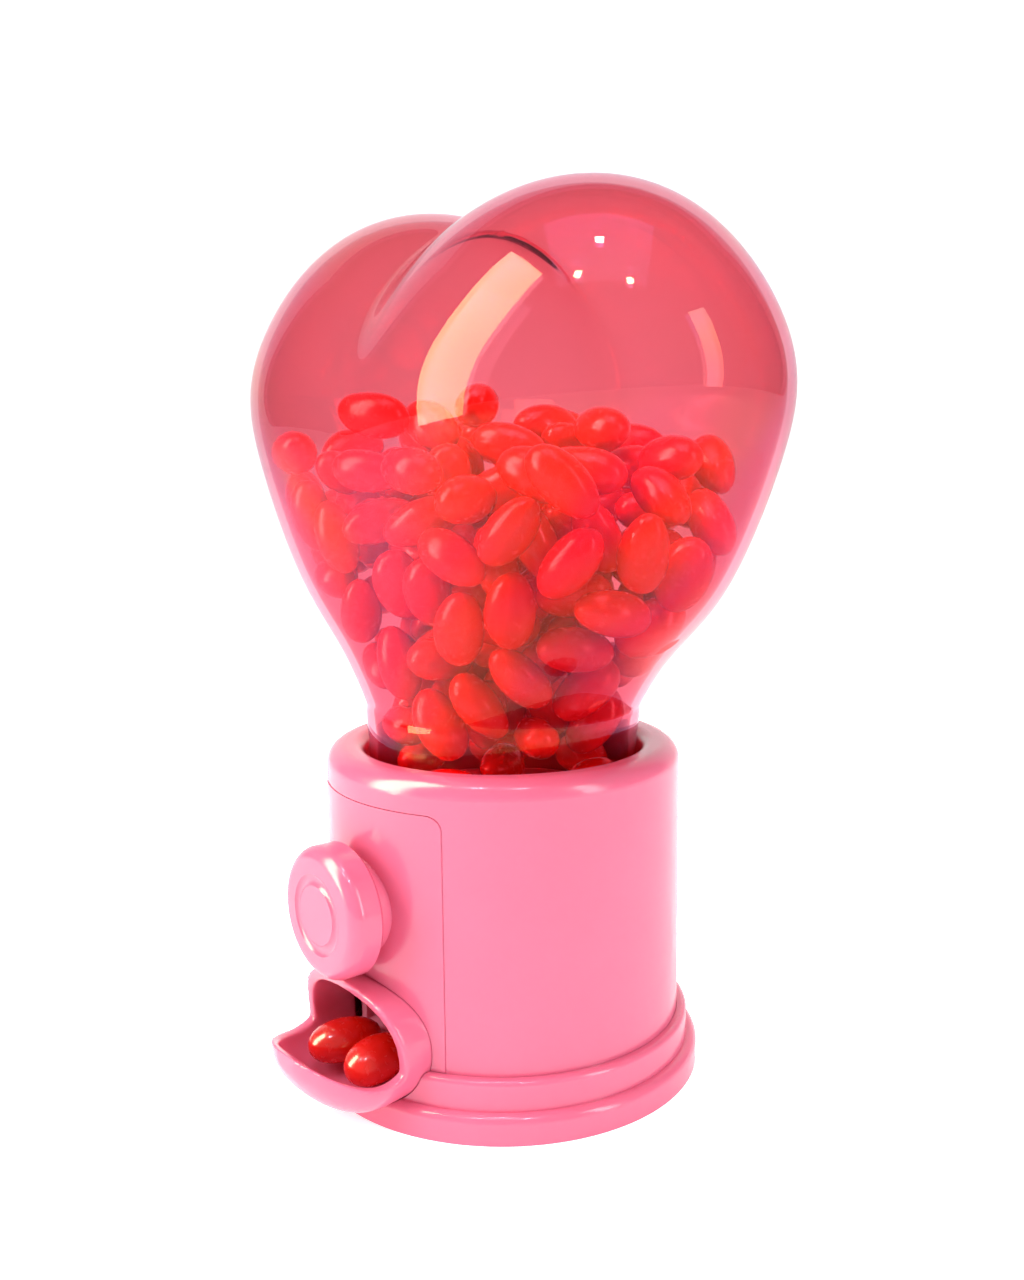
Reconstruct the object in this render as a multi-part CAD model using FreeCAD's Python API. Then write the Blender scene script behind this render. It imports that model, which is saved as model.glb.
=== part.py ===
import FreeCAD, Part
import math
import os
import random

from FreeCAD import Vector

# A small heart-shaped sweet dispenser, in millimetres. Z is up, the base stands on Z = 0,
# and the knob and the chute face -Y. The heart's two lobes lie towards -X and +X.

# Overall sizes
body_radius = 33.0
body_top_z = 61.8
globe_top_z = 159.5
globe_wall = 1.5

# Clearances
running_gap = 0.05        # radial, where the shaft turns in a bearing
seat_gap = 0.6            # radial, where the globe's neck drops into the collar
fit_gap = 0.15            # around the chute where it passes through the walls
part_gap = 0.1            # between pieces that face each other without a fit

# Base
wall = 2.2
deck_thickness = 2.4
foot_radius = body_radius + 3.7
foot_step_radius = body_radius + 1.8
foot_step_z = 5.1
foot_top_z = 10.5
foot_ledge_z = 2.5
shell_bottom_z = 4.0
plate_thickness = foot_ledge_z
collar_wall = 1.8
collar_depth = 11.8
collar_bottom_z = body_top_z - collar_depth
neck_radius = 25.2
neck_hole_radius = neck_radius + seat_gap
shell_inner_radius = body_radius - wall

# Front panel
panel_thickness = 1.3
panel_proud = 0.15
panel_half_angle = 32.6
panel_top_z = body_top_z - 6.3
panel_corner = 2.5

# Hopper
hopper_thickness = 1.6
hopper_depth = 5.4
hopper_floor_z = collar_bottom_z - hopper_depth
hopper_floor_radius = 16.5
hopper_mouth_radius = neck_radius - 2.4
hopper_rim_radius = shell_inner_radius - 0.5

# Rotor
axis_z = hopper_floor_z - 7.6
shaft_radius = 3.0
drum_radius = 12.0
drum_half_length = 14.0
housing_gap = 0.5
housing_wall = 1.6
housing_half_length = 17.0
pocket_radius = 6.0
pocket_half_length = 10.0
knob_radius = 11.7
knob_thickness = 6.6
knob_back_y = -body_radius - 2.1
knob_front_y = knob_back_y - knob_thickness
boss_radius = 8.8
boss_front_y = knob_back_y + 0.4
sleeve_radius = 5.8
sleeve_end_y = -shell_inner_radius + 2.4
shaft_socket_y = knob_front_y + 2.5
shaft_end_y = housing_half_length + 0.6
shaft_ring_y = -housing_half_length - 6.0
shaft_ring_radius = 5.0
shaft_ring_thickness = 1.4
flat_depth = 0.6
spring_wire_radius = 0.4
spring_coil_radius = 4.0
spring_pitch = 1.05

# Screws
screw_radius = 1.0
screw_head_radius = 2.0
screw_head_height = 1.2
post_radius = 3.2
post_ring_radius = shell_inner_radius - 2.6
hopper_post_ring_radius = shell_inner_radius - 2.2
lug_x = 18.0
lug_z = axis_z + 1.0

# Chute: control rows from back to front, as (how far out from the body's face, half width,
# underside z, top z)
chute_top_z = axis_z - knob_radius - 0.9
chute_rows = [
    (-5.7, 15.6, 2.9, chute_top_z - 0.2),
    (0.0, 15.8, 2.9, chute_top_z),
    (4.5, 16.2, 1.9, chute_top_z),
    (9.5, 15.0, 3.0, chute_top_z - 0.4),
    (14.4, 8.4, 7.6, chute_top_z - 4.4),
    (15.7, 2.8, 11.0, chute_top_z - 7.4),
]
chute_squareness = 1.0
chute_wall = 2.2
chute_flange = 1.5
hood_out = 4.6
notch_out = 1.7
notch_z = 11.4
lip_z = 14.4

# Ramp
ramp_half_width = 11.0
ramp_sheet = 1.5
ramp_front_y = -shell_inner_radius + 4.8
ramp_back_y = drum_radius + 0.5
ramp_front_z = 9.9
ramp_back_z = 19.0

# Sweets
sweet_half_length = 7.0
sweet_radius = 4.7
sweet_tip_radius = 0.4
sweet_gap = 0.3
sweet_wall_gap = 0.45
sweets_wanted = 176
settle_rounds = 1000
heap_bottom_z = collar_bottom_z + 1.2
heap_top_z = body_top_z + 64.0
heap_seed = 11

# The heart's rows from neck to crown, as (z, lobe radius in Y, lobe centre in X, X to Y ratio).
# They are control rows of a cubic surface, so the skin passes near them and not through them.
heart_height = globe_top_z - body_top_z
heart_rows = [
    (body_top_z + 0.2, neck_radius, 0.0, 1.0),
    (body_top_z + 2.7, neck_radius, 0.0, 1.0),
    (body_top_z + 0.176 * heart_height, 26.4, 5.0, 1.08),
    (body_top_z + 0.273 * heart_height, 28.5, 14.8, 1.15),
    (body_top_z + 0.555 * heart_height, 35.2, 16.2, 1.22),
    (body_top_z + 0.754 * heart_height, 35.4, 18.2, 1.22),
    (globe_top_z, 15.4, 22.0, 1.22),
    (globe_top_z, 0.0, 22.0, 1.22),
]


def cylinder_y(radius, y_from, y_to, x=0.0, z=axis_z):
    return Part.makeCylinder(radius, y_to - y_from, Vector(x, y_from, z), Vector(0, 1, 0))


def cylinder_z(radius, z_from, z_to, x=0.0, y=0.0):
    return Part.makeCylinder(radius, z_to - z_from, Vector(x, y, z_from))


def box(x_from, x_to, y_from, y_to, z_from, z_to):
    size = Vector(x_to - x_from, y_to - y_from, z_to - z_from)
    return Part.makeBox(size.x, size.y, size.z, Vector(x_from, y_from, z_from))


def revolve_z(outline):
    """Turns an outline of (radius, z) points about Z."""
    points = [Vector(r, 0, z) for r, z in outline]
    face = Part.Face(Part.makePolygon(points + points[:1]))
    return face.revolve(Vector(), Vector(0, 0, 1), 360)


def extrude_x(outline, x_from, x_to):
    """Extrudes an outline of (y, z) points along X."""
    points = [Vector(x_from, y, z) for y, z in outline]
    return Part.Face(Part.makePolygon(points + points[:1])).extrude(Vector(x_to - x_from, 0, 0))


def on_ring(radius, degrees):
    turn = math.radians(degrees)
    return radius * math.cos(turn), radius * math.sin(turn)


def circle_edges(solid, radius, z):
    """The solid's round edges of one radius at one height."""
    found = []
    for edge in solid.Edges:
        curve = edge.Curve
        if isinstance(curve, Part.Circle) and abs(curve.Radius - radius) < 1e-4 and abs(curve.Center.z - z) < 1e-4:
            found.append(edge)
    return found


# ---- The heart-shaped globe ----

def uniform_knots(count, degree):
    spans = count - degree
    knots = [i / spans for i in range(spans + 1)]
    mults = [degree + 1] + [1] * (spans - 1) + [degree + 1]
    return knots, mults


def lobe_solid(inset):
    """One lobe of the heart, a full oval at every height, with its skin moved in by the inset."""
    corner = math.sqrt(0.5)
    ring = [(1, 0), (1, 1), (0, 1), (-1, 1), (-1, 0), (-1, -1), (0, -1), (1, -1), (1, 0)]
    weights = [1, corner] * 4 + [1]
    poles = []
    for z, radius, centre, ratio in heart_rows:
        in_y = max(radius - inset, 0.0) if radius > 0 else 0.0
        in_x = max(radius * ratio - inset, 0.0) if radius > 0 else 0.0
        height = min(z, globe_top_z - inset)
        poles.append([Vector(centre + in_x * u, in_y * v, height) for u, v in ring])
    knots, mults = uniform_knots(len(heart_rows), 3)
    surface = Part.BSplineSurface()
    surface.buildFromPolesMultsKnots(
        poles, mults, [3, 2, 2, 2, 3], knots, [0, 0.25, 0.5, 0.75, 1], False, False, 3, 2,
        [weights] * len(heart_rows))
    skin = surface.toShape()
    bottom = cylinder_z(neck_radius - inset, heart_rows[0][0] - 1, heart_rows[0][0]).Faces
    floor = [face for face in bottom if abs(face.CenterOfMass.z - heart_rows[0][0]) < 1e-6]
    shell = Part.makeShell([skin] + floor)
    shell.sewShape()
    return Part.makeSolid(shell)


def heart_solid(inset):
    half_space = box(0, 80, -80, 80, 0, globe_top_z + 10)
    right = lobe_solid(inset).common(half_space)
    left = right.mirror(Vector(), Vector(1, 0, 0))
    return right.fuse(left)


def make_globe():
    top = heart_rows[0][0]
    bottom = collar_bottom_z + running_gap
    outer = heart_solid(0).fuse(cylinder_z(neck_radius, bottom, top))
    inner = heart_solid(globe_wall).fuse(cylinder_z(neck_radius - globe_wall, bottom - 1, top))
    return outer.cut(inner).removeSplitter()


# ---- The sweets ----

def profile_table():
    """The heart's skin as (z, lobe radius, lobe centre, ratio), from the control rows."""
    count = len(heart_rows)
    spans = count - 3
    knots = [0.0] * 3 + [i / spans for i in range(spans + 1)] + [1.0] * 3
    table = []
    for step in range(121):
        t = min(step / 120, 1 - 1e-9)
        span = min(3 + int(t * spans), count - 1)
        rows = [list(heart_rows[j]) for j in range(span - 3, span + 1)]
        for level in range(1, 4):
            for j in range(3, level - 1, -1):
                low = knots[j + span - 3]
                high = knots[j + 1 + span - level]
                blend = (t - low) / (high - low)
                rows[j] = [(1 - blend) * a + blend * b for a, b in zip(rows[j - 1], rows[j])]
        table.append(tuple(rows[3]))
    return table


def section_at(table, z):
    """Lobe half width, half depth and centre at one height, with how fast the sides lean out."""
    if z <= table[0][0]:
        return neck_radius, neck_radius, 0.0, 0.0, 0.0
    for low, high in zip(table, table[1:]):
        if low[0] <= z < high[0]:
            blend = (z - low[0]) / (high[0] - low[0])
            wide = [row[1] * row[3] for row in (low, high)]
            deep = [row[1] for row in (low, high)]
            centre = [row[2] for row in (low, high)]
            rise = high[0] - low[0]
            mix = [(1 - blend) * pair[0] + blend * pair[1] for pair in (wide, deep, centre)]
            return mix + [(wide[1] + centre[1] - wide[0] - centre[0]) / rise, (deep[1] - deep[0]) / rise]
    return 0.1, 0.1, heart_rows[-1][2], 0.0, 0.0


def keep_inside(table, point, radius):
    """Moves a point so that a ball round it stays in the globe and above the hopper and drum."""
    x, y, z = point
    z = max(z, heap_bottom_z + radius)
    if abs(y) < drum_half_length + radius:
        reach = drum_radius + housing_gap + radius
        span = math.hypot(x, z - axis_z)
        if span < reach:
            x = x * reach / span
            z = axis_z + (z - axis_z) * reach / span
    wide, deep, centre, lean_x, lean_y = section_at(table, z)
    half_x = max(wide - globe_wall - sweet_wall_gap - radius * math.hypot(1, lean_x), 0.5)
    half_y = max(deep - globe_wall - sweet_wall_gap - radius * math.hypot(1, lean_y), 0.5)
    side = 1.0 if x >= 0 else -1.0
    out = math.hypot((abs(x) - centre) / half_x, y / half_y)
    if out > 1:
        x = side * (centre + (abs(x) - centre) / out)
        y = y / out
    return [x, y, z]


def nearest_on_segments(a, da, b, db, reach):
    """Places along two segments, from -reach to reach, where they come nearest."""
    across = sum(p * q for p, q in zip(da, db))
    gap = [q - p for p, q in zip(a, b)]
    along_a = sum(p * q for p, q in zip(da, gap))
    along_b = sum(p * q for p, q in zip(db, gap))
    spread = 1 - across * across
    s = 0.0 if spread < 1e-6 else (along_a - across * along_b) / spread
    s = max(-reach, min(reach, s))
    t = max(-reach, min(reach, s * across - along_b))
    s = max(-reach, min(reach, t * across + along_a))
    return s, t


def unit(vector):
    length = math.sqrt(sum(c * c for c in vector)) or 1.0
    return [c / length for c in vector]


def sweet_contacts(rods, reach, far):
    """Pairs of rods nearer than far, as (i, j, place on i, place on j, gap vector from i to j)."""
    middles = [[(p + q) / 2 for p, q in zip(*rod)] for rod in rods]
    headings = [unit([q - p for p, q in zip(*rod)]) for rod in rods]
    order = sorted(range(len(rods)), key=lambda i: middles[i][2])
    for place, i in enumerate(order):
        for j in order[place + 1:]:
            if middles[j][2] - middles[i][2] > far + 2 * reach:
                break
            if sum((p - q) ** 2 for p, q in zip(middles[i], middles[j])) > (far + 2 * reach) ** 2:
                continue
            s, t = nearest_on_segments(middles[i], headings[i], middles[j], headings[j], reach)
            gap = [q + t * e - p - s * d
                   for p, d, q, e in zip(middles[i], headings[i], middles[j], headings[j])]
            if sum(c * c for c in gap) < far * far:
                yield i, j, s / reach, t / reach, gap


def push_rod(rod, place, move):
    """Moves a rod so that its place, from -1 to 1 along it, shifts by the move."""
    shares = ((1 - place) / 2, (1 + place) / 2)
    total = shares[0] ** 2 + shares[1] ** 2
    for end, share in enumerate(shares):
        rod[end] = [c + m * share / total for c, m in zip(rod[end], move)]


def start_rods(table, reach):
    """Rods in loose layers above the hopper, pointing every way."""
    dice = random.Random(heap_seed)
    rods = []
    level = heap_bottom_z + 8
    while len(rods) < sweets_wanted:
        wide, deep, centre = section_at(table, level)[:3]
        for i in range(-5, 6):
            for j in range(-4, 5):
                spot = [i * 10.5 + dice.uniform(-2, 2), j * 10.5 + dice.uniform(-2, 2), level]
                heading = unit([dice.gauss(0, 1), dice.gauss(0, 1), dice.gauss(0, 0.6)])
                out = math.hypot((abs(spot[0]) - centre) / (wide - 6), spot[1] / (deep - 6))
                if out < 1 and len(rods) < sweets_wanted:
                    rods.append([[c - reach * d for c, d in zip(spot, heading)],
                                 [c + reach * d for c, d in zip(spot, heading)]])
        level += 8.6
    return rods


def settle_sweets():
    """Drops rounded rods of a sweet's size into the globe, and returns (middle, heading) for each."""
    table = profile_table()
    radius = sweet_radius + sweet_gap / 2
    reach = sweet_half_length - sweet_radius + 0.2
    rods = start_rods(table, reach)
    for turn in range(settle_rounds):
        fall = 0.3 * max(0.0, 1 - turn / (settle_rounds * 0.6))
        for rod in rods:
            for end in (0, 1):
                rod[end][2] -= fall
        for i, j, place_i, place_j, gap in sweet_contacts(rods, reach, 2 * radius):
            distance = math.sqrt(sum(c * c for c in gap))
            way = unit(gap) if distance > 1e-6 else [0, 0, 1]
            depth = 0.45 * (2 * radius - distance)
            push_rod(rods[i], place_i, [-depth * c for c in way])
            push_rod(rods[j], place_j, [depth * c for c in way])
        for rod in rods:
            for end in (0, 1):
                rod[end] = keep_inside(table, rod[end], radius)
            middle = [(p + q) / 2 for p, q in zip(*rod)]
            way = unit([q - p for p, q in zip(*rod)])
            rod[0] = [c - reach * d for c, d in zip(middle, way)]
            rod[1] = [c + reach * d for c, d in zip(middle, way)]
    return drop_squeezed(rods, reach, 2 * sweet_radius + 0.1)


def drop_squeezed(rods, reach, least):
    """Takes out the rods that are still too near others, worst first."""
    while True:
        crowd = {}
        for i, j, place_i, place_j, gap in sweet_contacts(rods, reach, least):
            short = least - math.sqrt(sum(c * c for c in gap))
            for rod in (i, j):
                crowd[rod] = crowd.get(rod, 0.0) + short
        if not crowd:
            break
        rods.pop(max(crowd, key=crowd.get))
    return [([(p + q) / 2 for p, q in zip(*rod)], unit([q - p for p, q in zip(*rod)])) for rod in rods]


def sweet_form():
    """One plump oval sweet along X, in two half turns, with a tiny flat at each tip."""
    oval = Part.Ellipse(Vector(), sweet_half_length, sweet_radius)
    tip = math.asin(sweet_tip_radius / sweet_radius)
    side = Part.ArcOfEllipse(oval, tip, math.pi - tip).toShape()
    front, back = side.firstVertex().Point, side.lastVertex().Point
    front_foot, back_foot = Vector(front.x, 0, 0), Vector(back.x, 0, 0)
    edges = [side, Part.makeLine(back, back_foot), Part.makeLine(back_foot, front_foot),
             Part.makeLine(front_foot, front)]
    face = Part.Face(Part.Wire(edges))
    halves = [face.revolve(Vector(), Vector(1, 0, 0), turn) for turn in (180, -180)]
    return halves[0].fuse(halves[1]).toNurbs()


def place_sweets(places):
    """Sweets at the given (middle, heading) places."""
    form = sweet_form()
    sweets = []
    for centre, heading in places:
        turn = FreeCAD.Rotation(Vector(1, 0, 0), Vector(*heading))
        sweet = form.copy()
        sweet.Placement = FreeCAD.Placement(Vector(*centre), turn)
        sweets.append(sweet.Solids[0])
    return Part.makeCompound(sweets)


def make_globe_sweets():
    heap = [sweet for sweet in settle_sweets() if sweet[0][2] < heap_top_z]
    return place_sweets(heap)


def make_chute_sweets():
    row_y = -body_radius - 0.6
    rest_z = chute_rows[0][2] + chute_wall + sweet_radius + sweet_gap
    apart = sweet_radius + sweet_gap
    places = [((-apart, row_y, rest_z), (0.25, 0.96, 0.04)), ((apart, row_y + 0.4, rest_z), (-0.12, 0.99, 0.04))]
    return place_sweets(places)


# ---- The base ----

# from in front of the body to well inside it, for what passes through its wall
through_wall = (-body_radius - 7.0, -body_radius + 13.0)


def post_angles():
    return (90, 210, 330)


def hopper_post_angles():
    return (30, 150, 270)


def make_body_shell():
    outline = [
        (body_radius, shell_bottom_z), (body_radius, body_top_z), (neck_hole_radius, body_top_z),
        (neck_hole_radius, collar_bottom_z), (neck_hole_radius + collar_wall, collar_bottom_z),
        (neck_hole_radius + collar_wall, body_top_z - deck_thickness),
        (shell_inner_radius, body_top_z - deck_thickness), (shell_inner_radius, shell_bottom_z),
    ]
    shell = revolve_z(outline)
    shell = shell.makeFillet(3.4, circle_edges(shell, body_radius, body_top_z))
    shell = shell.makeFillet(2.4, circle_edges(shell, neck_hole_radius, body_top_z))
    for degrees in post_angles():
        x, y = on_ring(post_ring_radius, degrees)
        post = cylinder_z(post_radius, shell_bottom_z, 15, x, y).common(cylinder_z(body_radius - 0.5, 0, body_top_z))
        shell = shell.fuse(post).cut(cylinder_z(screw_radius, shell_bottom_z - 1, 13, x, y))
    for degrees in hopper_post_angles():
        x, y = on_ring(hopper_post_ring_radius, degrees)
        post = cylinder_z(2.1, collar_bottom_z, body_top_z - 1, x, y)
        shell = shell.fuse(post).cut(cylinder_z(screw_radius, collar_bottom_z - 1, body_top_z - 3.8, x, y))
    recess_radius = body_radius + panel_proud - panel_thickness - part_gap / 2
    recess = panel_slab(part_gap).cut(cylinder_z(recess_radius, 0, body_top_z))
    shell = shell.cut(recess).cut(cylinder_y(sleeve_radius + part_gap, *through_wall))
    return shell.cut(chute_block(fit_gap)).removeSplitter()


def make_foot_ring():
    outline = [
        (foot_radius, 0), (foot_radius, foot_step_z), (foot_step_radius, foot_step_z),
        (foot_step_radius, foot_top_z), (body_radius + part_gap / 2, foot_top_z),
        (body_radius + part_gap / 2, shell_bottom_z), (shell_inner_radius - 0.3, shell_bottom_z),
        (shell_inner_radius - 0.3, foot_ledge_z), (shell_inner_radius + 1.2, foot_ledge_z),
        (shell_inner_radius + 1.2, 0),
    ]
    ring = revolve_z(outline)
    ring = ring.makeFillet(1.6, circle_edges(ring, foot_radius, foot_step_z))
    ring = ring.makeFillet(1.0, circle_edges(ring, foot_step_radius, foot_top_z))
    return ring.cut(chute_block(fit_gap)).removeSplitter()


def make_bottom_plate():
    plate = cylinder_z(shell_inner_radius + 1.2 - part_gap, 0, plate_thickness)
    for degrees in post_angles():
        x, y = on_ring(post_ring_radius, degrees)
        plate = plate.cut(cylinder_z(screw_radius + part_gap, -1, 10, x, y))
        plate = plate.cut(cylinder_z(screw_head_radius + 0.2, -1, screw_head_height + 0.3, x, y))
    return plate


def screw_z(x, y, head_z, length):
    """A screw pointing up, its head's underside towards -Z."""
    head = cylinder_z(screw_head_radius, head_z, head_z + screw_head_height, x, y)
    slot = box(x - 0.25, x + 0.25, y - screw_head_radius, y + screw_head_radius, head_z - 1, head_z + 0.5)
    return head.fuse(cylinder_z(screw_radius - 0.02, head_z, head_z + length, x, y)).cut(slot)


def make_base_screws():
    spots = [on_ring(post_ring_radius, degrees) for degrees in post_angles()]
    return Part.makeCompound([screw_z(x, y, 0.28, 9.5) for x, y in spots])


def panel_slab(grow):
    """A round-cornered slab along Y with the panel's outline, grown all round."""
    half_width = body_radius * math.sin(math.radians(panel_half_angle)) + grow
    top = panel_top_z + grow
    slab = box(-half_width, half_width, through_wall[0], 0, foot_top_z + part_gap - grow, top)
    corners = [edge for edge in slab.Edges if edge_at(edge, half_width, top)]
    return slab.makeFillet(panel_corner, corners)


def edge_at(edge, half_width, z):
    """Whether an edge runs along Y at a slab's upper corner."""
    middle = edge.CenterOfMass
    return abs(abs(middle.x) - half_width) < 1e-4 and abs(middle.z - z) < 1e-4


def make_front_panel():
    outer_radius = body_radius + panel_proud
    inner_radius = outer_radius - panel_thickness
    sheet = cylinder_z(outer_radius, 0, body_top_z).common(panel_slab(0))
    boss = cylinder_y(boss_radius, boss_front_y, through_wall[1])
    boss = boss.makeFillet(0.6, [edge for edge in boss.Edges if abs(edge.CenterOfMass.y - boss_front_y) < 1e-4])
    panel = sheet.fuse(boss).cut(cylinder_z(inner_radius, 0, body_top_z))
    panel = panel.fuse(cylinder_y(sleeve_radius, boss_front_y + 0.6, sleeve_end_y))
    panel = panel.cut(cylinder_y(shaft_radius + running_gap, *through_wall))
    return panel.cut(chute_block(fit_gap)).removeSplitter()


# ---- The hopper, drum and housing ----

def make_hopper():
    floor = hopper_floor_z
    under = floor - hopper_thickness
    outline = [
        (0, under), (hopper_floor_radius - 0.6, under),
        (hopper_mouth_radius - 0.8, collar_bottom_z - hopper_thickness),
        (hopper_rim_radius, collar_bottom_z - hopper_thickness), (hopper_rim_radius, collar_bottom_z),
        (hopper_mouth_radius, collar_bottom_z), (hopper_floor_radius, floor), (0, floor),
    ]
    hopper = revolve_z(outline)
    for side in (-1, 1):
        hopper = hopper.fuse(cylinder_z(2.4, lug_z + housing_wall, floor, side * lug_x))
        hopper = hopper.cut(cylinder_z(screw_radius, lug_z, floor - 0.6, side * lug_x))
    for degrees in hopper_post_angles():
        x, y = on_ring(hopper_post_ring_radius, degrees)
        hopper = hopper.cut(cylinder_z(screw_radius + part_gap, lug_z, body_top_z, x, y))
    hopper = hopper.cut(cylinder_y(drum_radius + housing_gap, -drum_half_length - 0.6, drum_half_length + 0.6))
    return hopper.removeSplitter()


def make_hopper_screws():
    spots = [on_ring(hopper_post_ring_radius, degrees) for degrees in hopper_post_angles()]
    head_z = collar_bottom_z - hopper_thickness - screw_head_height
    return Part.makeCompound([screw_z(x, y, head_z, 8) for x, y in spots])


def make_drum_housing():
    inner = drum_radius + housing_gap
    end = housing_half_length
    top = hopper_floor_z - hopper_thickness
    housing = cylinder_y(inner + housing_wall, -end, end).cut(
        cylinder_y(inner, -end + housing_wall, end - housing_wall))
    housing = housing.cut(box(-30, 30, -30, 30, top, body_top_z))
    for side in (-1, 1):
        lug = box(-lug_x - 3.5, lug_x + 3.5, -4, 4, lug_z, lug_z + housing_wall)
        lug = lug.common(box(min(0, side * 40), max(0, side * 40), -5, 5, 0, body_top_z))
        housing = housing.fuse(lug.cut(cylinder_y(inner, -end, end)))
        housing = housing.cut(cylinder_z(screw_radius + part_gap, lug_z - 8, lug_z + 4, side * lug_x))
    housing = housing.cut(cylinder_y(shaft_radius + running_gap, -30, 30))
    half_x, half_y = pocket_radius + 0.6, pocket_half_length + 0.6
    slot = box(-half_x, half_x, -half_y, half_y, axis_z - inner - housing_wall - 3, axis_z - 4)
    return housing.cut(slot).removeSplitter()


def make_housing_screws():
    return Part.makeCompound([screw_z(side * lug_x, 0, lug_z - screw_head_height, 6.5) for side in (-1, 1)])


def shaft_flat(y_from, y_to):
    """The slice that makes the shaft D-shaped, so that the drum and knob can't slip."""
    return box(-5, 5, y_from, y_to, axis_z + shaft_radius - flat_depth, axis_z + 5)


def shaft_hole(y_from, y_to):
    return cylinder_y(shaft_radius, y_from, y_to).cut(shaft_flat(y_from, y_to))


def make_drum():
    drum = cylinder_y(drum_radius, -drum_half_length, drum_half_length)
    pocket_z = axis_z - drum_radius + 1.8
    pocket = cylinder_y(pocket_radius, -pocket_half_length, pocket_half_length, 0, pocket_z)
    pocket = pocket.makeFillet(3.0, [e for e in pocket.Edges if isinstance(e.Curve, Part.Circle)])
    drum = drum.makeFillet(0.8, [e for e in drum.Edges if isinstance(e.Curve, Part.Circle)])
    return drum.cut(pocket).cut(shaft_hole(-20, 20)).removeSplitter()


def make_knob_shaft():
    shaft = cylinder_y(shaft_radius, shaft_socket_y, shaft_end_y)
    shaft = shaft.fuse(cylinder_y(shaft_ring_radius, shaft_ring_y - shaft_ring_thickness, shaft_ring_y))
    shaft = shaft.cut(shaft_flat(shaft_socket_y - 1, knob_back_y))
    shaft = shaft.cut(shaft_flat(-drum_half_length, drum_half_length))
    return shaft.cut(cylinder_y(screw_radius, shaft_end_y - 10, shaft_end_y + 1)).removeSplitter()


def make_drum_washer():
    washer = cylinder_y(5.2, shaft_end_y, shaft_end_y + 0.8)
    return washer.cut(cylinder_y(screw_radius + part_gap, shaft_end_y - 1, shaft_end_y + 2))


def make_drum_screw():
    head_y = shaft_end_y + 0.8
    head = cylinder_y(2.4, head_y, head_y + 1.5)
    slot = box(-0.3, 0.3, head_y + 0.9, head_y + 3, axis_z - 4, axis_z + 4)
    return head.fuse(cylinder_y(screw_radius - 0.02, head_y - 9.5, head_y + 0.1)).cut(slot)


def make_shaft_spring():
    start = sleeve_end_y + spring_wire_radius + running_gap
    length = shaft_ring_y - shaft_ring_thickness - spring_wire_radius - start
    turns = length / spring_pitch
    steps = math.ceil(turns * 16)
    path = Part.BSplineCurve()
    path.interpolate([Vector(*on_ring(spring_coil_radius, 360 * turns * i / steps), length * i / steps)
                      for i in range(steps + 1)])
    circle = Part.Circle(Vector(spring_coil_radius, 0, 0), path.tangent(0)[0], spring_wire_radius)
    coil = Part.Wire(path.toShape()).makePipeShell([Part.Wire(circle.toShape())], True, True)
    coil.Placement = FreeCAD.Placement(Vector(0, start, axis_z), FreeCAD.Rotation(Vector(0, 0, 1), Vector(0, 1, 0)))
    return coil


def make_knob():
    """A thick round knob with a softly domed face and a shallow ring pressed into it."""
    points = [Vector(r, y, 0) for r, y in (
        (0, knob_back_y), (knob_radius - 0.8, knob_back_y), (knob_radius, knob_back_y - 0.8),
        (knob_radius, knob_front_y + 2.6))]
    edge_mid = Vector(knob_radius - 0.7, knob_front_y + 0.9, 0)
    edge_end = Vector(knob_radius - 2.4, knob_front_y + 0.2, 0)
    groove_out = Vector(7.2, knob_front_y + 0.1, 0)
    groove_mid = Vector(6.2, knob_front_y + 0.5, 0)
    groove_in = Vector(5.2, knob_front_y + 0.05, 0)
    crown = Vector(0, knob_front_y + 0.05, 0)
    edges = [Part.makeLine(a, b) for a, b in zip(points, points[1:])]
    edges.append(Part.Arc(points[-1], edge_mid, edge_end).toShape())
    edges.append(Part.makeLine(edge_end, groove_out))
    edges.append(Part.Arc(groove_out, groove_mid, groove_in).toShape())
    edges.append(Part.makeLine(groove_in, crown))
    edges.append(Part.makeLine(crown, points[0]))
    knob = Part.Face(Part.Wire(edges)).revolve(Vector(), Vector(0, 1, 0), 360)
    knob.translate(Vector(0, 0, axis_z))
    return knob.cut(shaft_hole(shaft_socket_y, knob_back_y + 1))


# ---- The chute ----

def oval_tube(rows):
    """A solid along Y from control rows of (y, half width, low z, high z), with full, rounded-square sections."""
    ring = [(1, 0), (1, 1), (0, 1), (-1, 1), (-1, 0), (-1, -1), (0, -1), (1, -1), (1, 0)]
    weights = [1, chute_squareness] * 4 + [1]
    poles = []
    for y, half_width, low, high in rows:
        middle = (low + high) / 2
        half = (high - low) / 2
        poles.append([Vector(half_width * u, y, middle + half * v) for u, v in ring])
    knots, mults = uniform_knots(len(rows), 3)
    surface = Part.BSplineSurface()
    surface.buildFromPolesMultsKnots(
        poles, mults, [3, 2, 2, 2, 3], knots, [0, 0.25, 0.5, 0.75, 1], False, False, 3, 2,
        [weights] * len(rows))
    ends = [Part.Face(Part.Wire([surface.uIso(at).toShape()])) for at in (0, 1)]
    shell = Part.makeShell([surface.toShape()] + ends)
    shell.sewShape()
    return Part.makeSolid(shell)


def chute_block(grow):
    """The chute's outer form as a solid, grown all round by a clearance."""
    rows = [(-body_radius - out - grow, w + grow, low - grow, high + grow) for out, w, low, high in chute_rows]
    rows[0] = (-body_radius - chute_rows[0][0] + grow,) + rows[0][1:]
    return oval_tube(rows)


def chute_hollow():
    """The space that the sweets slide through and lie in."""
    rows = [(-body_radius - out, max(w - chute_wall, 0.8), low + chute_wall, high - chute_wall)
            for out, w, low, high in chute_rows]
    rows[0] = (rows[0][0] + 3,) + rows[0][1:]
    rows[-1] = (rows[-1][0] + chute_wall,) + rows[-1][1:]
    return oval_tube(rows)


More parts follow.
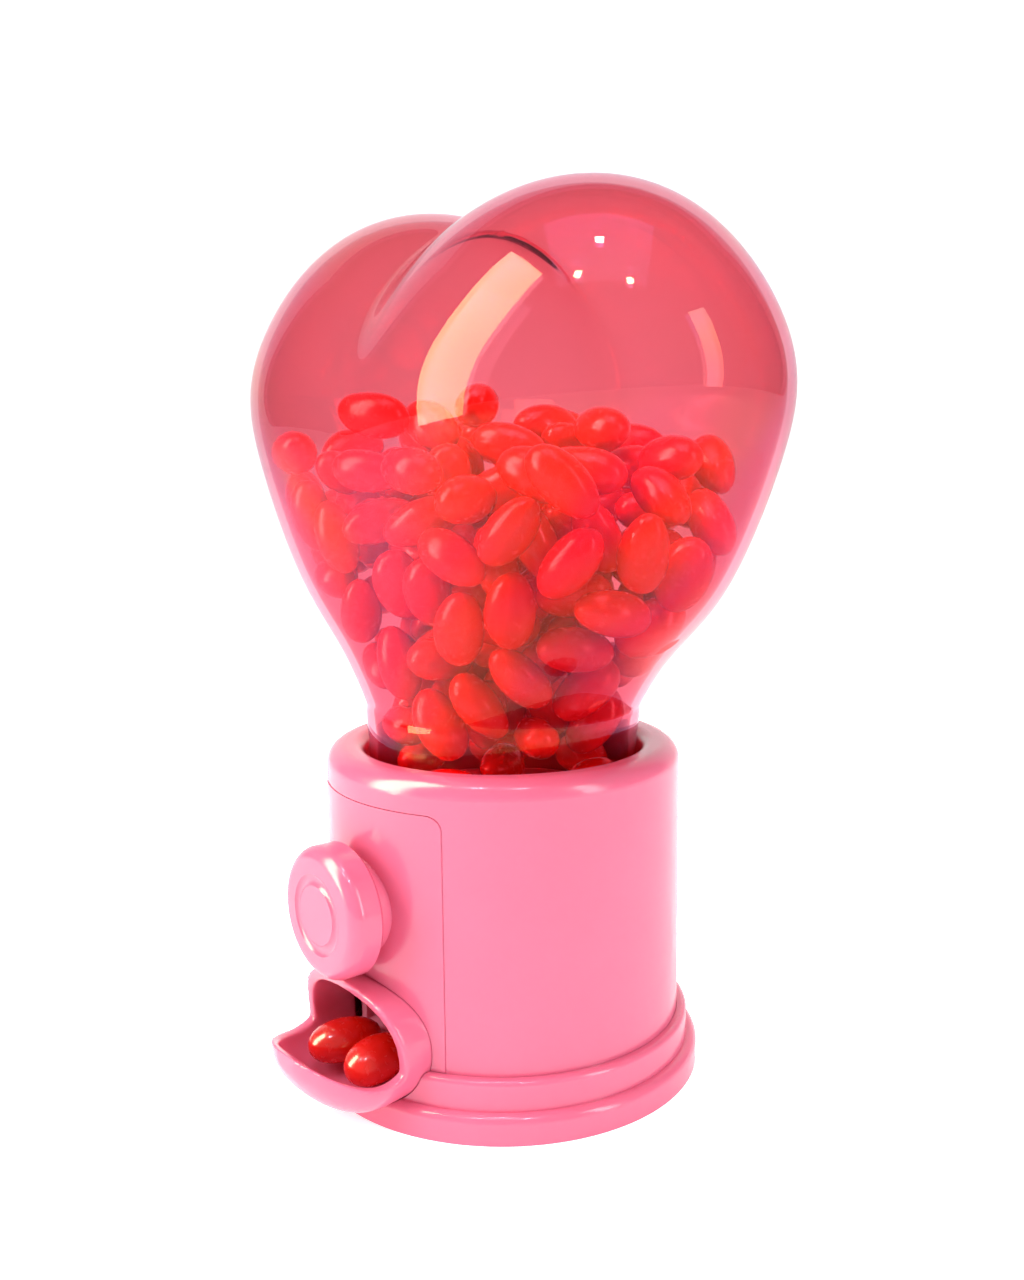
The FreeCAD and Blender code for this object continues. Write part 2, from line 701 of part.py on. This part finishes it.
def chute_mouth():
    """What is cut away in front of the hood and above the bowl's rim."""
    side = -chute_rows[2][1] - 10

    def at(out, z):
        return Vector(side, -body_radius - out, z)

    arch = at(hood_out, chute_top_z + 0.2)
    notch = at(notch_out, notch_z)
    lip = at(chute_rows[-1][0] + 1.5, lip_z + 0.8)
    hood = Part.BSplineCurve()
    hood.interpolate([arch, at(notch_out + 1.0, (notch_z + chute_top_z) / 2 + 1.0), notch])
    rim = Part.BSplineCurve()
    rim.interpolate([notch, at(notch_out + 2.4, notch_z - 1.1), at(notch_out + 7.0, notch_z - 0.8), lip])
    corners = [lip, at(30, lip_z + 2), at(30, chute_top_z + 8), at(hood_out - 0.6, chute_top_z + 8), arch]
    edges = [hood.toShape(), rim.toShape()] + [Part.makeLine(a, b) for a, b in zip(corners, corners[1:])]
    return Part.Face(Part.Wire(edges)).extrude(Vector(-2 * side, 0, 0))


def make_chute():
    flange_outer = shell_inner_radius - part_gap
    flange_low = shell_bottom_z + 0.2
    flange_high = chute_top_z + 2.4
    flange = cylinder_z(flange_outer, flange_low, flange_high)
    flange = flange.cut(cylinder_z(flange_outer - chute_flange, flange_low - 1, flange_high + 1))
    half_width = chute_rows[1][1] + 1.8
    flange = flange.common(box(-half_width, half_width, through_wall[0], 0, 0, body_top_z))
    return chute_block(0).fuse(flange).cut(chute_hollow()).cut(chute_mouth())


def make_chute_ramp():
    base = plate_thickness
    housing_radius = drum_radius + housing_gap + housing_wall
    inner_half = ramp_half_width - ramp_sheet
    back_top = axis_z - housing_radius - 0.4
    side_top = axis_z - math.sqrt(housing_radius ** 2 - inner_half ** 2) - 2.2
    floor = extrude_x([(ramp_front_y, ramp_front_z), (ramp_back_y, ramp_back_z),
                       (ramp_back_y, ramp_back_z - ramp_sheet), (ramp_front_y, ramp_front_z - ramp_sheet)],
                      -ramp_half_width, ramp_half_width)
    side = [(ramp_front_y, base), (ramp_back_y + ramp_sheet, base), (ramp_back_y + ramp_sheet, side_top),
            (ramp_back_y - 3, side_top), (ramp_front_y, ramp_front_z + 6)]
    back = box(-ramp_half_width, ramp_half_width, ramp_back_y, ramp_back_y + ramp_sheet, base, back_top)
    ramp = floor.fuse(back)
    for x in (-ramp_half_width, inner_half):
        ramp = ramp.fuse(extrude_x(side, x, x + ramp_sheet))
    return ramp.removeSplitter()


makers = {
    "globe": make_globe,
    "sweets_in_globe": make_globe_sweets,
    "body_shell": make_body_shell,
    "foot_ring": make_foot_ring,
    "bottom_plate": make_bottom_plate,
    "base_screws": make_base_screws,
    "front_panel": make_front_panel,
    "hopper": make_hopper,
    "hopper_screws": make_hopper_screws,
    "drum_housing": make_drum_housing,
    "housing_screws": make_housing_screws,
    "drum": make_drum,
    "knob_shaft": make_knob_shaft,
    "drum_washer": make_drum_washer,
    "drum_screw": make_drum_screw,
    "shaft_spring": make_shaft_spring,
    "knob": make_knob,
    "chute": make_chute,
    "chute_ramp": make_chute_ramp,
    "sweets_in_chute": make_chute_sweets,
}

os.makedirs("parts", exist_ok=True)
for name, maker in makers.items():
    shape = maker()
    if not shape.isValid():
        print("not valid:", name)
    print(name, len(shape.Solids), round(shape.Volume, 1))
    shape.exportStep("parts/" + name + ".step")
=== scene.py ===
import math
import random

import bmesh
import bpy
import numpy as np
from mathutils import Matrix, Vector


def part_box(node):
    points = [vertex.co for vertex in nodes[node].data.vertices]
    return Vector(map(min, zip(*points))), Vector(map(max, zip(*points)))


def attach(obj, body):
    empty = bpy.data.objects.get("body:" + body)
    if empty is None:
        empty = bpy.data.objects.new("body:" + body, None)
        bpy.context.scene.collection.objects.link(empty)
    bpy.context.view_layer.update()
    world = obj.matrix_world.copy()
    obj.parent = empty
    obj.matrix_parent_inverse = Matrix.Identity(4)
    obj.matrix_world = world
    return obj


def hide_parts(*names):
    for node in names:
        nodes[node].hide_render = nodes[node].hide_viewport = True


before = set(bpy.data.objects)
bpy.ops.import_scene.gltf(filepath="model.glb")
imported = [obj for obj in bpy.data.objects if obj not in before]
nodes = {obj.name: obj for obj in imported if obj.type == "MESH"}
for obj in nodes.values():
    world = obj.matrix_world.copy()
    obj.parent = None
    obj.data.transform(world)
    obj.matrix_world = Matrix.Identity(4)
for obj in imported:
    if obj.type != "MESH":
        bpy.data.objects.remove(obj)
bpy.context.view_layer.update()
mm = 0.001


def addPiece(name, points, faces, smooth=True):
    mesh = bpy.data.meshes.new(name)
    mesh.from_pydata([tuple(p) for p in points], [], faces)
    mesh.validate()
    piece = bpy.data.objects.new(name, mesh)
    bpy.context.scene.collection.objects.link(piece)
    if smooth:
        mesh.polygons.foreach_set("use_smooth", [True] * len(mesh.polygons))
    return piece


def applyModifiers(piece):
    graph = bpy.context.evaluated_depsgraph_get()
    mesh = bpy.data.meshes.new_from_object(piece.evaluated_get(graph))
    piece.modifiers.clear()
    old = piece.data
    piece.data = mesh
    bpy.data.meshes.remove(old)
    return piece


def paint(piece, material):
    piece.data.materials.clear()
    piece.data.materials.append(material)


def smoothStep(x, low, high):
    t = np.clip((x - low) / (high - low), 0.0, 1.0)
    return t * t * (3 - 2 * t)


def newMaterial(name):
    material = bpy.data.materials.new(name)
    material.use_nodes = True
    tree = material.node_tree
    shader = tree.nodes["Principled BSDF"]
    return material, tree, shader


def addNoise(tree, scale, detail=3.0, where="Object", distortion=0.0):
    place = tree.nodes.new("ShaderNodeTexCoord")
    noise = tree.nodes.new("ShaderNodeTexNoise")
    noise.inputs["Scale"].default_value = scale
    noise.inputs["Detail"].default_value = detail
    noise.inputs["Distortion"].default_value = distortion
    tree.links.new(place.outputs[where], noise.inputs["Vector"])
    return noise


def spread(tree, source, low, high, fromLow=0.3, fromHigh=0.7):
    span = tree.nodes.new("ShaderNodeMapRange")
    span.inputs["From Min"].default_value = fromLow
    span.inputs["From Max"].default_value = fromHigh
    span.inputs["To Min"].default_value = low
    span.inputs["To Max"].default_value = high
    tree.links.new(source, span.inputs["Value"])
    return span.outputs["Result"]


def tint(tree, factor, first, second):
    ramp = tree.nodes.new("ShaderNodeValToRGB")
    ramp.color_ramp.elements[0].color = (*first, 1)
    ramp.color_ramp.elements[1].color = (*second, 1)
    tree.links.new(factor, ramp.inputs["Fac"])
    return ramp.outputs["Color"]


def addBump(tree, shader, source, strength, distance):
    bump = tree.nodes.new("ShaderNodeBump")
    bump.inputs["Strength"].default_value = strength
    bump.inputs["Distance"].default_value = distance
    tree.links.new(source, bump.inputs["Height"])
    tree.links.new(bump.outputs["Normal"], shader.inputs["Normal"])
    return bump


pinkPlastic = {"light": (0.75, 0.145, 0.255), "deep": (0.72, 0.13, 0.235), "roughness": 0.17, "skin": 0.2}


def makePinkPlastic(name="pinkPlastic", recipe=pinkPlastic):
    material, tree, shader = newMaterial(name)
    cloud = addNoise(tree, 60, 4)
    tree.links.new(tint(tree, cloud.outputs["Fac"], recipe["deep"], recipe["light"]), shader.inputs["Base Color"])
    smear = addNoise(tree, 240, 5, distortion=0.6)
    tree.links.new(spread(tree, smear.outputs["Fac"], recipe["roughness"] - 0.05, recipe["roughness"] + 0.08),
                   shader.inputs["Roughness"])
    shader.inputs["IOR"].default_value = 1.49
    shader.inputs["Subsurface Weight"].default_value = recipe["skin"]
    shader.inputs["Subsurface Radius"].default_value = (1.0, 0.35, 0.4)
    shader.inputs["Subsurface Scale"].default_value = 0.003
    grain = addNoise(tree, 900, 2)
    addBump(tree, shader, grain.outputs["Fac"], 0.05, 0.0001)
    return material


innerPlastic = {"light": (0.8, 0.25, 0.36), "deep": (0.72, 0.18, 0.28), "roughness": 0.42, "skin": 0.2}
drumPlastic = {"light": (0.86, 0.84, 0.8), "deep": (0.78, 0.76, 0.72), "roughness": 0.38, "skin": 0.1}
sweetShell = {"bright": (0.84, 0.014, 0.006), "dark": (0.66, 0.008, 0.004), "roughness": 0.16, "coat": 0.5}


def makeSweetShell(recipe=sweetShell):
    material, tree, shader = newMaterial("redSugarShell")
    island = tree.nodes.new("ShaderNodeNewGeometry")
    each = tint(tree, island.outputs["Random Per Island"], recipe["dark"], recipe["bright"])
    blotch = addNoise(tree, 220, 3)
    mix = tree.nodes.new("ShaderNodeMix")
    mix.data_type = "RGBA"
    mix.blend_type = "MULTIPLY"
    tree.links.new(spread(tree, blotch.outputs["Fac"], 0.0, 0.35), mix.inputs["Factor"])
    tree.links.new(each, mix.inputs["A"])
    mix.inputs["B"].default_value = (0.84, 0.5, 0.45, 1)
    tree.links.new(mix.outputs["Result"], shader.inputs["Base Color"])
    fine = addNoise(tree, 900, 2)
    tree.links.new(spread(tree, fine.outputs["Fac"], recipe["roughness"], recipe["roughness"] + 0.14),
                   shader.inputs["Roughness"])
    shader.inputs["Coat Weight"].default_value = recipe["coat"]
    shader.inputs["Coat Roughness"].default_value = 0.08
    shader.inputs["Subsurface Weight"].default_value = 0.12
    shader.inputs["Subsurface Radius"].default_value = (1.0, 0.1, 0.05)
    shader.inputs["Subsurface Scale"].default_value = 0.0015
    addBump(tree, shader, blotch.outputs["Fac"], 0.12, 0.0004)
    return material


clearRose = {"middle": (0.86, 0.34, 0.4), "edge": (0.6, 0.06, 0.09), "shine": (1.0, 0.4, 0.5),
             "filmThin": 260, "filmThick": 470, "filmBend": 1.33, "bend": 1.22}


def makeClearRose(recipe=clearRose):
    material, tree, shader = newMaterial("clearRosePlastic")
    facing = tree.nodes.new("ShaderNodeLayerWeight")
    facing.inputs["Blend"].default_value = 0.3
    colour = tint(tree, facing.outputs["Facing"], recipe["middle"], recipe["edge"])
    tree.links.new(colour, shader.inputs["Base Color"])
    shader.inputs["Transmission Weight"].default_value = 1.0
    shader.inputs["IOR"].default_value = recipe["bend"]
    smear = addNoise(tree, 55, 4, distortion=0.8)
    tree.links.new(spread(tree, smear.outputs["Fac"], 0.0, 0.045), shader.inputs["Roughness"])
    film = addNoise(tree, 14, 2, distortion=1.2)
    tree.links.new(spread(tree, film.outputs["Fac"], recipe["filmThin"], recipe["filmThick"]),
                   shader.inputs["Thin Film Thickness"])
    shader.inputs["Thin Film IOR"].default_value = recipe["filmBend"]
    shader.inputs["Specular Tint"].default_value = (*recipe["shine"], 1)
    output = tree.nodes["Material Output"]
    path = tree.nodes.new("ShaderNodeLightPath")
    through = tree.nodes.new("ShaderNodeBsdfTransparent")
    tree.links.new(colour, through.inputs["Color"])
    mix = tree.nodes.new("ShaderNodeMixShader")
    tree.links.new(path.outputs["Is Shadow Ray"], mix.inputs["Fac"])
    tree.links.new(shader.outputs["BSDF"], mix.inputs[1])
    tree.links.new(through.outputs["BSDF"], mix.inputs[2])
    tree.links.new(mix.outputs["Shader"], output.inputs["Surface"])
    return material


def makeSteel(name, colour, roughness):
    material, tree, shader = newMaterial(name)
    shader.inputs["Metallic"].default_value = 1.0
    streak = addNoise(tree, 500, 3, distortion=2.0)
    dark = tuple(c * 0.8 for c in colour)
    tree.links.new(tint(tree, streak.outputs["Fac"], dark, colour), shader.inputs["Base Color"])
    tree.links.new(spread(tree, streak.outputs["Fac"], roughness - 0.08, roughness + 0.1), shader.inputs["Roughness"])
    addBump(tree, shader, streak.outputs["Fac"], 0.1, 0.0001)
    return material


pink = makePinkPlastic()
inner = makePinkPlastic("innerPlastic", innerPlastic)
drumWhite = makePinkPlastic("drumPlastic", drumPlastic)
red = makeSweetShell()
rose = makeClearRose()
screwSteel = makeSteel("zincSteel", (0.62, 0.62, 0.6), 0.32)
springSteel = makeSteel("springSteel", (0.5, 0.5, 0.52), 0.28)
print("materials ready")

nodePaint = {
    "body_shell": pink, "foot_ring": pink, "bottom_plate": pink, "front_panel": pink, "knob": pink,
    "chute": pink, "hopper": inner, "drum_housing": inner, "chute_ramp": inner, "drum": drumWhite,
    "knob_shaft": drumWhite, "base_screws": screwSteel, "hopper_screws": screwSteel,
    "housing_screws": screwSteel, "drum_washer": screwSteel, "drum_screw": screwSteel,
    "shaft_spring": springSteel,
}
for nodeName, material in nodePaint.items():
    paint(nodes[nodeName], material)


heartGlobe = {
    # z, lobe radius front to back, lobe centre from the middle, width over depth; control rows from neck to crown
    "rows": [(62.0, 25.2, 0.0, 1.0), (64.5, 25.2, 0.0, 1.0), (79.0, 26.4, 5.0, 1.08), (88.47, 28.5, 14.8, 1.15),
             (116.02, 35.2, 16.2, 1.22), (135.47, 35.4, 18.2, 1.22), (159.5, 15.4, 22.0, 1.22),
             (159.5, 0.0, 22.0, 1.22)],
    "wall": 1.5,
    "cleftTop": 1.6,      # how softly the two lobes run together, at the crown and low down
    "cleftLow": 9.0,
    "ringsUp": 210,
    "stepsRound": 120,
}


def splineRows(rows, count):
    rows = np.array(rows, float)
    spans = len(rows) - 3
    knots = np.concatenate([[0, 0, 0], np.linspace(0, 1, spans + 1), [1, 1, 1]])
    out = []
    for t in np.linspace(0, 1 - 1e-9, count):
        span = 3 + min(int(t * spans), spans - 1)
        points = [rows[span - 3 + j].copy() for j in range(4)]
        for level in range(1, 4):
            for j in range(3, level - 1, -1):
                i = span - 3 + j
                blend = (t - knots[i]) / (knots[i + 4 - level] - knots[i])
                points[j] = (1 - blend) * points[j - 1] + blend * points[j]
        out.append(points[3])
    return np.array(out)


def heartHalf(recipe, inset=0.0):
    # rings of one lobe, cut softly at the middle plane; returns points as rings of (x, y, z) in mm
    eased = np.linspace(0, 1, recipe["ringsUp"])
    table = splineRows(recipe["rows"], 1200)
    length = np.concatenate([[0], np.cumsum(np.hypot(np.diff(table[:, 0]), np.diff(table[:, 1])))])
    rings = []
    for share in eased:
        z, radius, centre, ratio = [np.interp(share * length[-1], length, table[:, k]) for k in range(4)]
        radius = max(radius, 0.02)
        halfX = radius * ratio
        soft = recipe["cleftLow"] + (recipe["cleftTop"] - recipe["cleftLow"]) * smoothStep(z, 100.0, 156.0)
        soft = min(soft, 2.0 + 4.0 * max(centre, 0.0))
        edge = np.clip((soft - centre) / halfX, -1.0, 1.0)
        last = math.acos(edge)
        evenly = np.linspace(-1, 1, recipe["stepsRound"])
        turns = last * np.sign(evenly) * (1 - (1 - np.abs(evenly)) ** 2)   # closer together in the cleft
        side = centre + halfX * np.cos(turns)
        x = np.sqrt(np.maximum(side * side - soft * soft, 0.0))
        y = radius * np.sin(turns)
        rings.append(np.stack([x, y, np.full_like(x, z)], -1))
    return np.array(rings)


def makeHeartGlobe(recipe=heartGlobe):
    low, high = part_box("globe")
    rings = heartHalf(recipe)
    neck = rings[:1].repeat(3, 0).copy()
    neck[0, :, 2] = low[2] / mm
    neck[1, :, 2] = low[2] / mm + 4
    neck[2, :, 2] = recipe["rows"][0][0] - 2
    rings = np.concatenate([neck, rings])
    count, around = rings.shape[:2]
    points = rings.reshape(-1, 3)
    mirrored = points * np.array([-1, 1, 1])
    faces = []
    for i in range(count - 1):
        for j in range(around - 1):
            a = i * around + j
            quad = (a, a + 1, a + around + 1, a + around)
            faces.append(quad)
            faces.append(tuple(len(points) + k for k in reversed(quad)))
    everything = np.concatenate([points, mirrored]) * mm
    # the visual skin has the solid's own height and width
    size = everything.max(0) - everything.min(0)
    scale = np.array([(high[0] - low[0]) / size[0], (high[1] - low[1]) / size[1], 1.0])
    everything = everything * np.minimum(scale, 1.0)
    globe = addPiece("heartGlobe", everything, faces)
    edit = bmesh.new()
    edit.from_mesh(globe.data)
    bmesh.ops.remove_doubles(edit, verts=edit.verts, dist=0.00004)
    bmesh.ops.dissolve_degenerate(edit, edges=edit.edges, dist=0.00002)
    saddle = [edge for edge in edit.edges if edge.is_boundary and edge.verts[0].co.z > 0.1]
    bmesh.ops.holes_fill(edit, edges=saddle, sides=0)   # the small gap where the two crowns part
    bmesh.ops.recalc_face_normals(edit, faces=edit.faces)
    for face in edit.faces:
        face.smooth = True
    edit.to_mesh(globe.data)
    edit.free()
    thick = globe.modifiers.new("wall", "SOLIDIFY")
    thick.thickness = recipe["wall"] * mm
    thick.offset = -1
    thick.use_even_offset = False
    applyModifiers(globe)
    paint(globe, rose)
    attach(globe, "globe")
    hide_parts("globe")
    return globe


makeHeartGlobe()
print("globe ready")


sweet = {"flat": 0.86, "pinch": 0.12, "bend": 0.05, "rings": 14, "steps": 20, "seed": 5}


def islandsOf(node):
    # the separate solids of a node, as arrays of their points
    mesh = nodes[node].data
    count = len(mesh.vertices)
    points = np.empty(count * 3)
    mesh.vertices.foreach_get("co", points)
    points = points.reshape(-1, 3)
    keys = {}
    same = np.empty(count, int)
    for i, p in enumerate(np.round(points * 1e6).astype(int)):
        same[i] = keys.setdefault(tuple(p), i)
    parent = list(range(count))

    def root(i):
        while parent[i] != i:
            parent[i] = parent[parent[i]]
            i = parent[i]
        return i

    for edge in mesh.edges:
        a, b = root(same[edge.vertices[0]]), root(same[edge.vertices[1]])
        if a != b:
            parent[a] = b
    groups = {}
    for i in range(count):
        groups.setdefault(root(same[i]), []).append(i)
    return [points[group] for group in groups.values() if len(group) > 20]


def sweetForm(recipe, halfLength, radius, dice):
    # a plump almond: one end a little narrower, slightly flattened, with a gentle bend
    points, faces = [], []
    rings, steps = recipe["rings"], recipe["steps"]
    narrow = dice.uniform(-1, 1) * recipe["pinch"]
    for i in range(rings + 1):
        angle = math.pi * i / rings
        x = -math.cos(angle)
        girth = math.sin(angle) ** 0.92 * (1 + narrow * x) / (1 + abs(narrow))
        for j in range(steps):
            turn = 2 * math.pi * j / steps
            y = radius * girth * math.cos(turn)
            z = radius * girth * recipe["flat"] * math.sin(turn)
            y += recipe["bend"] * radius * (1 - x * x) - recipe["bend"] * radius
            points.append((halfLength * x, y * 0.97, z))
    for i in range(rings):
        for j in range(steps):
            a, b = i * steps + j, i * steps + (j + 1) % steps
            faces.append((a, b, b + steps, a + steps))
    return np.array(points), faces


def makeSweets(name, node, body, recipe=sweet):
    dice = random.Random(recipe["seed"])
    points, faces = [], []
    for cloud in islandsOf(node):
        middle = (cloud.min(0) + cloud.max(0)) / 2
        middle = cloud.mean(0) if len(cloud) < 40 else middle
        spreadOut = cloud - middle
        values, axes = np.linalg.eigh(spreadOut.T @ spreadOut)
        along = axes[:, 2]
        across = np.cross(along, (0.0, 0.0, 1.0))
        across /= max(np.linalg.norm(across), 1e-6)
        up = np.cross(across, along)
        tilt = dice.uniform(-0.7, 0.7)
        across, up = across * math.cos(tilt) + up * math.sin(tilt), up * math.cos(tilt) - across * math.sin(tilt)
        halfLength = np.abs(spreadOut @ along).max() * 0.985
        radius = np.abs(spreadOut @ across).max() * 0.985
        form, quads = sweetForm(recipe, halfLength, radius, dice)
        if dice.random() < 0.5:
            along, across = -along, -across
        placed = middle + form @ np.array([along, across, up])
        start = len(points)
        points.extend(placed)
        faces.extend(tuple(start + k for k in quad) for quad in quads)
    heap = addPiece(name, points, faces)
    edit = bmesh.new()
    edit.from_mesh(heap.data)
    bmesh.ops.remove_doubles(edit, verts=edit.verts, dist=0.00001)
    bmesh.ops.recalc_face_normals(edit, faces=edit.faces)
    for face in edit.faces:
        face.smooth = True
    edit.to_mesh(heap.data)
    edit.free()
    paint(heap, red)
    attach(heap, body)
    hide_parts(node)
    return heap


makeSweets("sweetsHeap", "sweets_in_globe", "globe")
makeSweets("sweetsServed", "sweets_in_chute", "base")
print("sweets ready")


chuteRim = {"grain": 0.32, "softness": 0.5, "rounds": 14}


def makeChute(recipe=chuteRim):
    # the moulding's own form with a soft, rounded rim
    source = nodes["chute"]
    chute = bpy.data.objects.new("chuteMoulding", source.data.copy())
    bpy.context.scene.collection.objects.link(chute)
    weld = chute.modifiers.new("weld", "WELD")
    weld.merge_threshold = 0.00001
    remesh = chute.modifiers.new("even", "REMESH")
    remesh.mode = "VOXEL"
    remesh.voxel_size = recipe["grain"] * mm
    soft = chute.modifiers.new("soft", "SMOOTH")
    soft.factor = recipe["softness"]
    soft.iterations = recipe["rounds"]
    applyModifiers(chute)
    chute.data.polygons.foreach_set("use_smooth", [True] * len(chute.data.polygons))
    paint(chute, pink)
    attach(chute, "base")
    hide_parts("chute")
    return chute


makeChute()
print("chute ready")


studio = {"floorColour": (0.93, 0.93, 0.93), "floorGlow": 0.5, "worldLight": 0.4, "worldColour": (1.0, 0.99, 0.98)}


def makeFloor(recipe=studio):
    # a pale sheet that curves up behind the machine
    points, faces = [], []
    half, reach, back, bend = 2.5, 2.5, 1.6, 0.6
    profile = [(-reach, 0.0)] + [(back + bend * math.sin(t), bend - bend * math.cos(t))
                                 for t in np.linspace(0, math.pi / 2, 24)] + [(back + bend, 2.8)]
    turn = Matrix.Rotation(math.radians(50), 3, "Z")
    for side in (-half, half):
        for y, z in profile:
            points.append(turn @ Vector((side, y, z)))
    count = len(profile)
    for i in range(count - 1):
        faces.append((i, i + 1, count + i + 1, count + i))
    floor = addPiece("floorSheet", points, faces)
    material, tree, shader = newMaterial("paleFloor")
    cloud = addNoise(tree, 3, 2)
    shade = tuple(c * 0.985 for c in recipe["floorColour"])
    tree.links.new(tint(tree, cloud.outputs["Fac"], shade, recipe["floorColour"]), shader.inputs["Base Color"])
    shader.inputs["Roughness"].default_value = 0.7
    shader.inputs["Specular IOR Level"].default_value = 0.1
    shader.inputs["Emission Color"].default_value = (1, 1, 1, 1)
    shader.inputs["Emission Strength"].default_value = recipe["floorGlow"]
    paint(floor, material)


def addSoftbox(name, place, aim, size, power, colour=(1, 1, 1), mirrored=True, lighting=True):
    lamp = bpy.data.lights.new(name, "AREA")
    lamp.shape = "RECTANGLE"
    lamp.size, lamp.size_y = size
    lamp.energy = power
    lamp.color = colour
    thing = bpy.data.objects.new(name, lamp)
    bpy.context.scene.collection.objects.link(thing)
    thing.location = place
    thing.rotation_euler = (Vector(aim) - Vector(place)).to_track_quat("-Z", "Y").to_euler()
    thing.visible_glossy = mirrored
    thing.visible_diffuse = lighting
    return thing


def makeWorld(recipe=studio):
    world = bpy.data.worlds.new("studioWorld")
    world.use_nodes = True
    back = world.node_tree.nodes["Background"]
    back.inputs["Color"].default_value = (*recipe["worldColour"], 1)
    back.inputs["Strength"].default_value = recipe["worldLight"]
    bpy.context.scene.world = world


def makeCamera():
    # degrees and metres; the camera stands off the front right and looks a little down
    seat = {"azimuth": 51.0, "out": 0.2323, "height": 0.1158, "down": 8.69, "aside": 0.47, "roll": -0.6, "lens": 35.4}
    camera = bpy.data.cameras.new("camera")
    camera.lens = seat["lens"]
    camera.sensor_width = 36
    camera.sensor_fit = "AUTO"
    camera.clip_start = 0.01
    thing = bpy.data.objects.new("camera", camera)
    bpy.context.scene.collection.objects.link(thing)
    turn = math.radians(seat["azimuth"])
    place = Vector((math.sin(turn) * seat["out"], -math.cos(turn) * seat["out"], seat["height"]))
    aim = (Matrix.Rotation(turn - math.radians(seat["aside"]), 4, "Z")
           @ Matrix.Rotation(math.radians(90 - seat["down"]), 4, "X")
           @ Matrix.Rotation(math.radians(seat["roll"]), 4, "Z"))
    thing.matrix_world = Matrix.Translation(place) @ aim
    bpy.context.scene.camera = thing


makeFloor()
makeWorld()
addSoftbox("keyBox", (-0.3, -0.75, 0.5), (0, 0, 0.1), (0.5, 0.8), 8.5, (1.0, 0.97, 0.93), mirrored=False)
addSoftbox("windowBox", (-0.36, -0.72, 0.5), (0, 0, 0.12), (0.4, 1.3), 34, (1.0, 0.9, 0.58), lighting=False)
addSoftbox("sideBox", (0.8, 0.25, 0.4), (0, 0, 0.08), (0.18, 0.7), 3.5)
addSoftbox("topBox", (0.1, -0.1, 1.1), (0, 0, 0.05), (0.7, 0.7), 8, mirrored=False)
for number, (x, y) in enumerate([(0.1, -0.12), (0.18, -0.42), (0.48, -0.2)]):
    addSoftbox("ceilingLamp%d" % number, (x, y, 1.0), (0, 0, 0.1), (0.05, 0.05), 1.2, (0.95, 0.85, 1.0), lighting=False)
makeCamera()
bpy.context.scene.view_settings.view_transform = "Standard"
print("stage ready")
